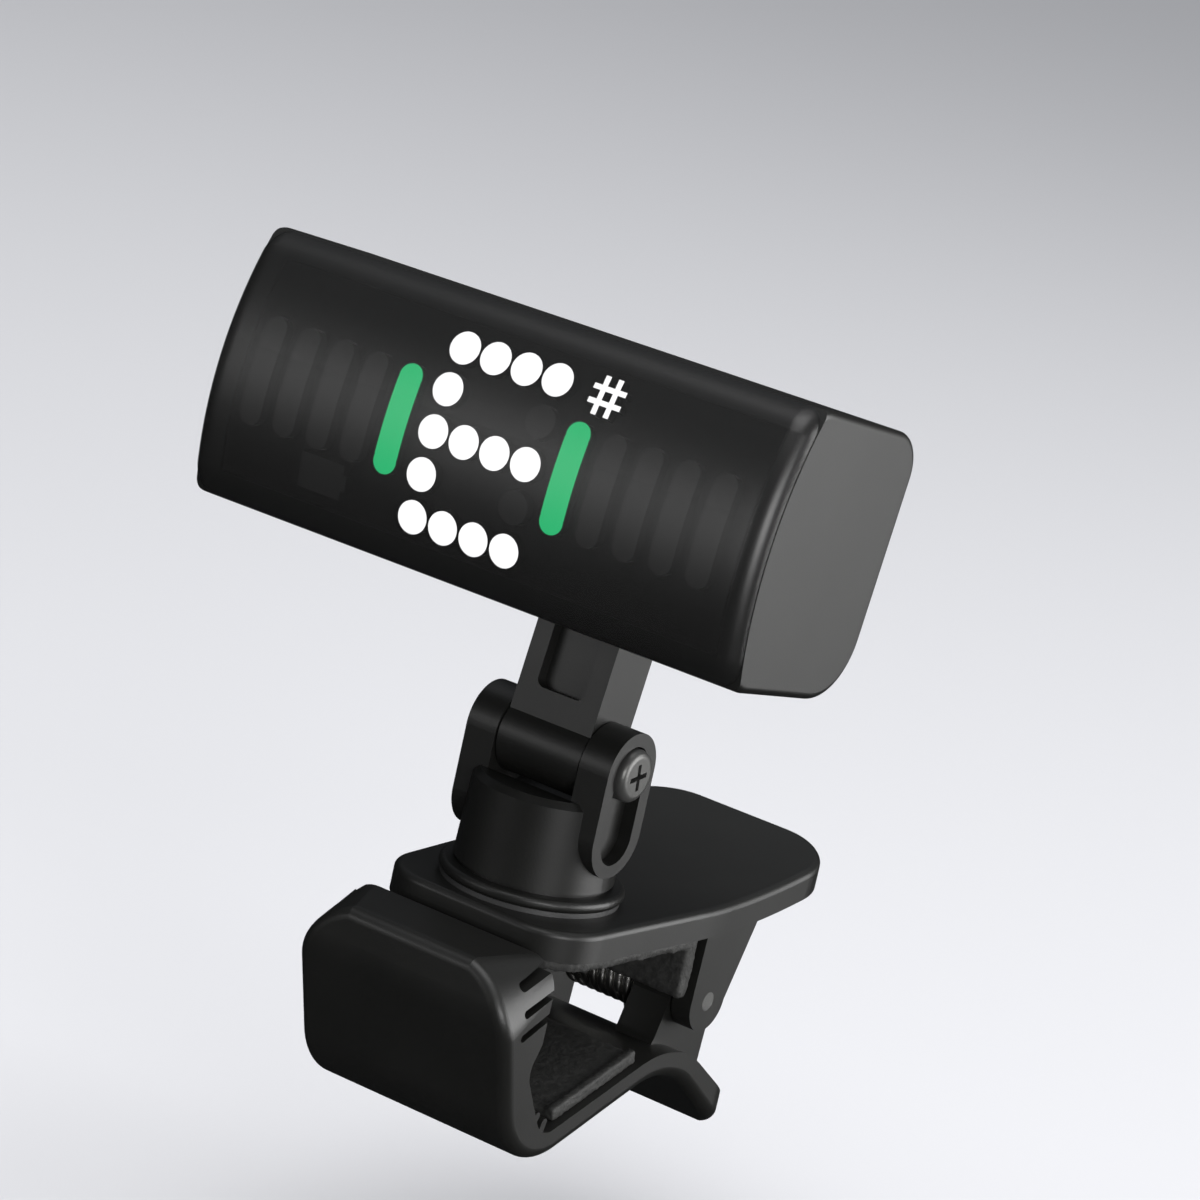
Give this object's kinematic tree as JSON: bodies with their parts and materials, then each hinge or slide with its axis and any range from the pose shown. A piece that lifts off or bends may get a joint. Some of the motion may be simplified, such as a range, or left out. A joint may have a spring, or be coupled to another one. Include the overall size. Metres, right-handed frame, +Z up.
{
  "type": "clip-on tuner",
  "caption": "Clip-on tuner with a barrel head, curved dot display, tilting neck on a swivel base, and a spring clip with a hooked lower jaw and rubber pads.",
  "frame": {"origin": "on the swivel axis, in the plane of the upper rubber pad that rests on the headstock", "axes": "+Z up along the swivel axis, -Y towards the player who reads the display, +X to that player's right"},
  "size_m": [0.0502, 0.0528, 0.0677],
  "materials": {
    "black_plastic": "fine satin moulded black",
    "rubber_pad": "matte black rubber with a fine grain",
    "bright_steel": "polished steel",
    "spring_steel": "bright nickel-plated spring wire",
    "grey_nylon": "dark nylon",
    "screw_metal": "dark zinc",
    "smoked_lens": "smoked semi-gloss window",
    "mask_black": "matte black mask",
    "white_diffuser": "milky light guide",
    "green_diffuser": "green light guide",
    "dark_diffuser": "unlit smoky light guide",
    "board_green": "solder-masked circuit board",
    "led_body": "small moulded lamps",
    "chip_black": "moulded component bodies",
    "cell_foil": "foil pouch",
    "piezo_brass": "brass disc",
    "button_rubber": "soft silicone"
  },
  "bodies": {
    "clip": {"upper_jaw": "black_plastic", "upper_pad": "rubber_pad", "pivot_pin": "bright_steel", "swivel_friction_ring": "grey_nylon", "torsion_spring": "spring_steel"},
    "lever": {"lower_jaw": "black_plastic", "lower_pad": "rubber_pad"},
    "swivel": {"swivel_base": "black_plastic", "hinge_screw": "screw_metal", "hinge_nut": "screw_metal", "swivel_washer": "bright_steel", "swivel_screw": "screw_metal"},
    "display_head": {"neck_arm": "black_plastic", "neck_screws": "screw_metal", "front_lens": "smoked_lens", "rear_housing": "black_plastic", "light_frame": "mask_black", "dot_light_guides": "white_diffuser", "dark_dot_guides": "dark_diffuser", "centre_bar_guides": "green_diffuser", "side_bar_guides": "dark_diffuser", "sharp_sign_guide": "white_diffuser", "battery_icon_guide": "dark_diffuser", "main_board": "board_green", "board_screws": "screw_metal", "display_leds": "led_body", "tuner_chips": "chip_black", "battery_cell": "cell_foil", "piezo_sensor": "piezo_brass", "usb_c_socket": "bright_steel", "push_switch": "chip_black"},
    "button": {"power_button": "button_rubber"}
  },
  "joints": [
    {"name": "jaw_open", "type": "hinge", "parent": "clip", "child": "lever", "pos_m": [0, 0.01385, -0.005], "axis": [1, 0, 0], "range_deg": [0, 38], "stiffness_Nm_per_rad": 0.16, "springref_deg": -28.65, "deforming": ["torsion_spring"]},
    {"name": "swivel_turn", "type": "hinge", "parent": "clip", "child": "swivel", "pos_m": [0, 0, 0.0033], "axis": [0, 0, 1], "continuous": true},
    {"name": "head_tilt", "type": "hinge", "parent": "swivel", "child": "display_head", "pos_m": [0, 0, 0.0148], "axis": [1, 0, 0], "range_deg": [-60, 55]},
    {"name": "power_press", "type": "slide", "parent": "display_head", "child": "button", "axis": [0, -0.9851, 0.1719], "range_m": [0, 0.0004], "stiffness_N_per_m": 1500, "springref_m": -0.0004}
  ]
}
